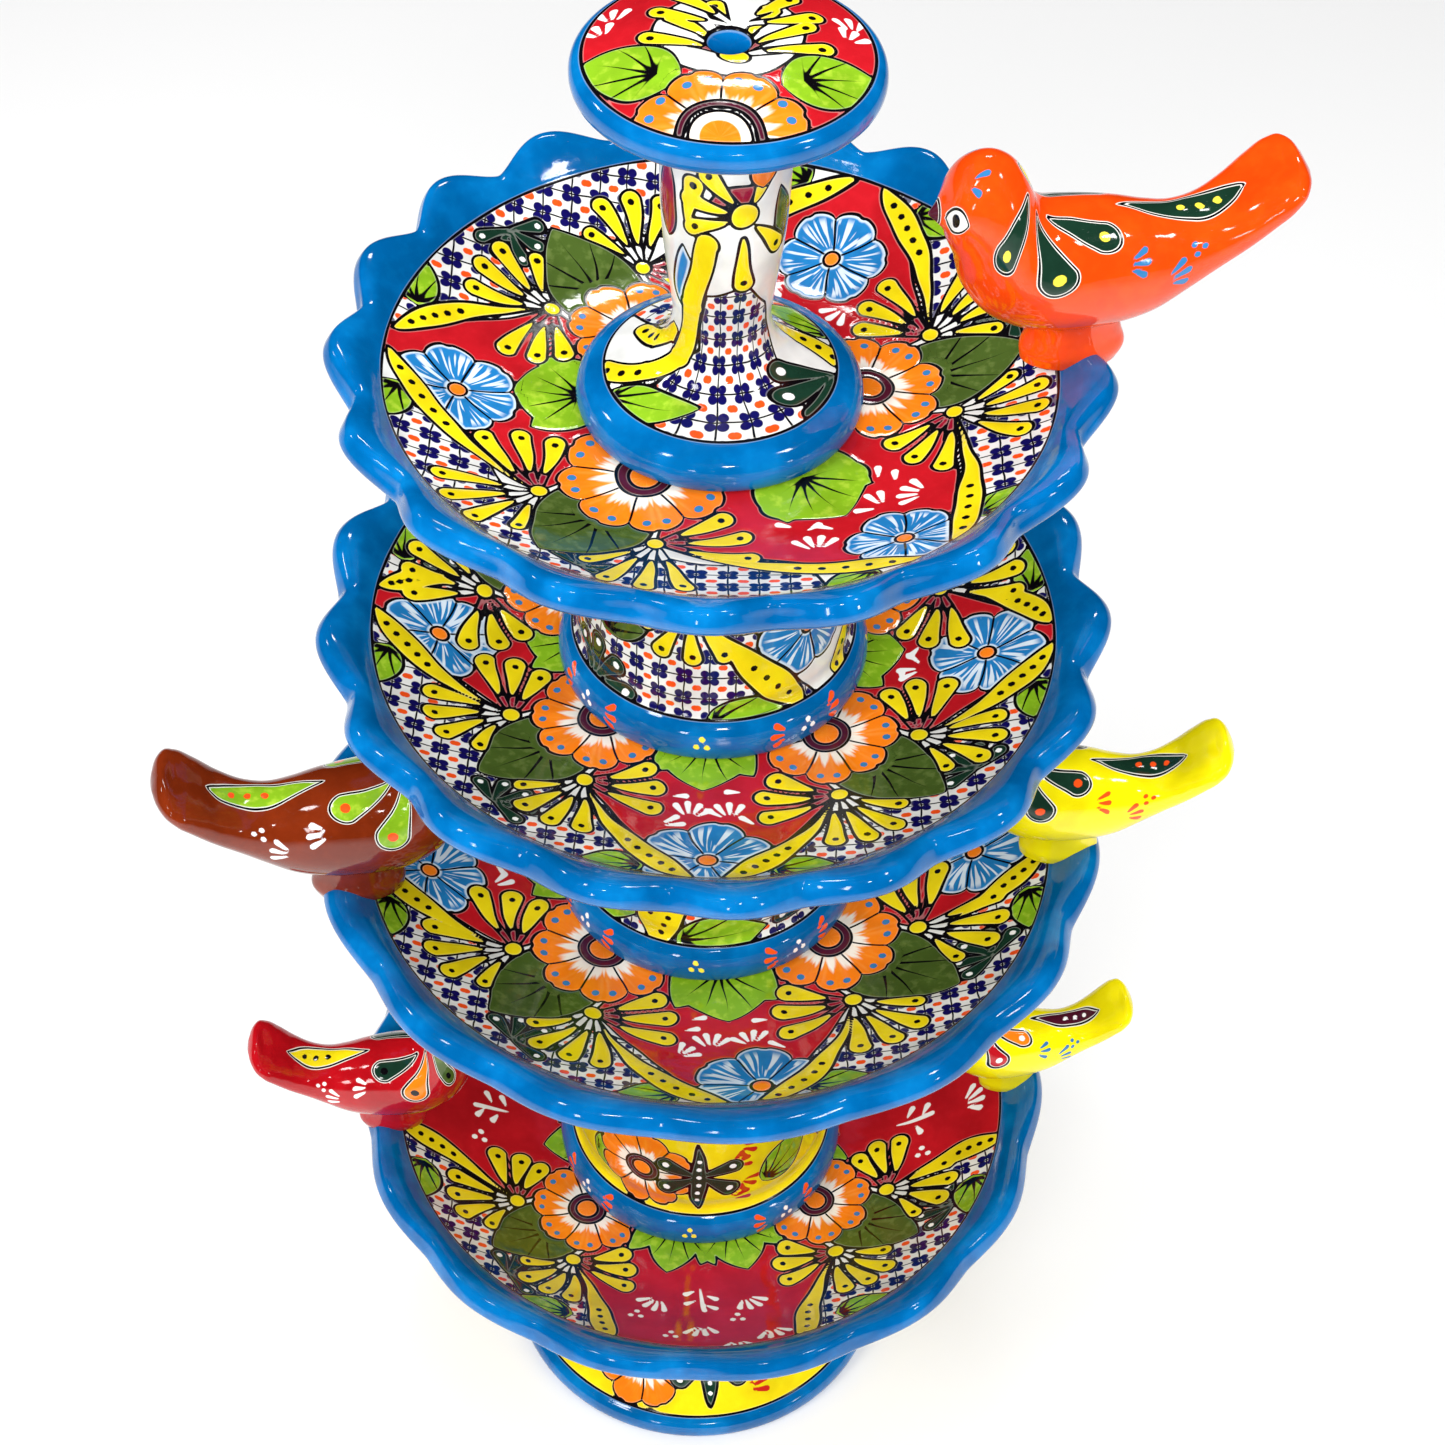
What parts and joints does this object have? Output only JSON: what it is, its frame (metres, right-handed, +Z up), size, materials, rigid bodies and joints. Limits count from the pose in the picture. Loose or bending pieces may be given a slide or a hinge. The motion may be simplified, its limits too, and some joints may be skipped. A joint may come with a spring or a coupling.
{
  "type": "tiered ceramic fountain",
  "caption": "Tiered garden fountain in painted, glazed ceramic: ruffled bowls stacked on drums, perched birds, a spout column with a mushroom cap, and a small pump with its tube.",
  "frame": {"origin": "centre of the foot, on the surface it stands on", "axes": "+Z up the tube, -Y towards the front, +X to the viewer's right"},
  "size_m": [0.6907, 0.5246, 1.194],
  "materials": {
    "glaze_bowl": "glossy, hand-painted flowers over white, blue rim",
    "glaze_drum": "glossy, hand-painted",
    "glaze_foot": "glossy, hand-painted",
    "glaze_spout": "glossy, hand-painted",
    "glaze_orange": "glossy",
    "glaze_brown": "glossy",
    "glaze_yellow": "glossy",
    "glaze_red": "glossy",
    "tube_clear": "clear flexible tube",
    "collar_rubber": "satin",
    "pump_plastic": "fine texture",
    "cover_plastic": "fine texture",
    "shaft_ceramic": "ground",
    "rotor_magnet": "moulded ferrite",
    "dial_plastic": "satin",
    "foot_rubber": "satin"
  },
  "bodies": {
    "foot": {"base_pedestal": "glaze_foot"},
    "basin": {"basin_bowl": "glaze_bowl", "bird_red": "glaze_red", "bird_small_yellow": "glaze_yellow", "pump_housing": "pump_plastic", "pump_shaft": "shaft_ceramic", "pump_foot_a": "foot_rubber", "pump_foot_b": "foot_rubber", "pump_foot_c": "foot_rubber", "pump_foot_d": "foot_rubber", "water_tube": "tube_clear"},
    "pump_cover": {"pump_cover": "cover_plastic"},
    "dial": {"flow_dial": "dial_plastic"},
    "rotor": {"pump_impeller": "rotor_magnet"},
    "drum_lower": {"riser_lower": "glaze_drum"},
    "bowl_three": {"bowl_lower": "glaze_bowl", "bird_brown": "glaze_brown", "bird_yellow": "glaze_yellow", "tube_collar_lower": "collar_rubber"},
    "drum_middle": {"riser_middle": "glaze_drum"},
    "bowl_two": {"bowl_middle": "glaze_bowl", "tube_collar_middle": "collar_rubber"},
    "drum_upper": {"riser_upper": "glaze_drum"},
    "bowl_one": {"bowl_top": "glaze_bowl", "bird_orange": "glaze_orange", "tube_collar_upper": "collar_rubber"},
    "spout": {"spout_column": "glaze_spout"}
  },
  "joints": [
    {"name": "lift_basin", "type": "slide", "parent": "foot", "child": "basin", "axis": [0, 0, 1], "range_m": [0, 0.04]},
    {"name": "lift_drum_lower", "type": "slide", "parent": "basin", "child": "drum_lower", "axis": [0, 0, 1], "range_m": [0, 0.975]},
    {"name": "lift_bowl_three", "type": "slide", "parent": "drum_lower", "child": "bowl_three", "axis": [0, 0, 1], "range_m": [0, 0.685]},
    {"name": "lift_drum_middle", "type": "slide", "parent": "bowl_three", "child": "drum_middle", "axis": [0, 0, 1], "range_m": [0, 0.665]},
    {"name": "lift_bowl_two", "type": "slide", "parent": "drum_middle", "child": "bowl_two", "axis": [0, 0, 1], "range_m": [0, 0.47]},
    {"name": "lift_drum_upper", "type": "slide", "parent": "bowl_two", "child": "drum_upper", "axis": [0, 0, 1], "range_m": [0, 0.45]},
    {"name": "lift_bowl_one", "type": "slide", "parent": "drum_upper", "child": "bowl_one", "axis": [0, 0, 1], "range_m": [0, 0.26]},
    {"name": "lift_spout", "type": "slide", "parent": "bowl_one", "child": "spout", "axis": [0, 0, 1], "range_m": [0, 0.25]},
    {"name": "pull_cover", "type": "slide", "parent": "basin", "child": "pump_cover", "axis": [0, -1, 0], "range_m": [0, 0.022]},
    {"name": "turn_dial", "type": "hinge", "parent": "pump_cover", "child": "dial", "pos_m": [0, -0.034, 0.236], "axis": [0, 1, 0], "range_deg": [-70, 70]},
    {"name": "spin_rotor", "type": "hinge", "parent": "basin", "child": "rotor", "pos_m": [0, 0, 0.236], "axis": [0, 1, 0], "continuous": true}
  ]
}
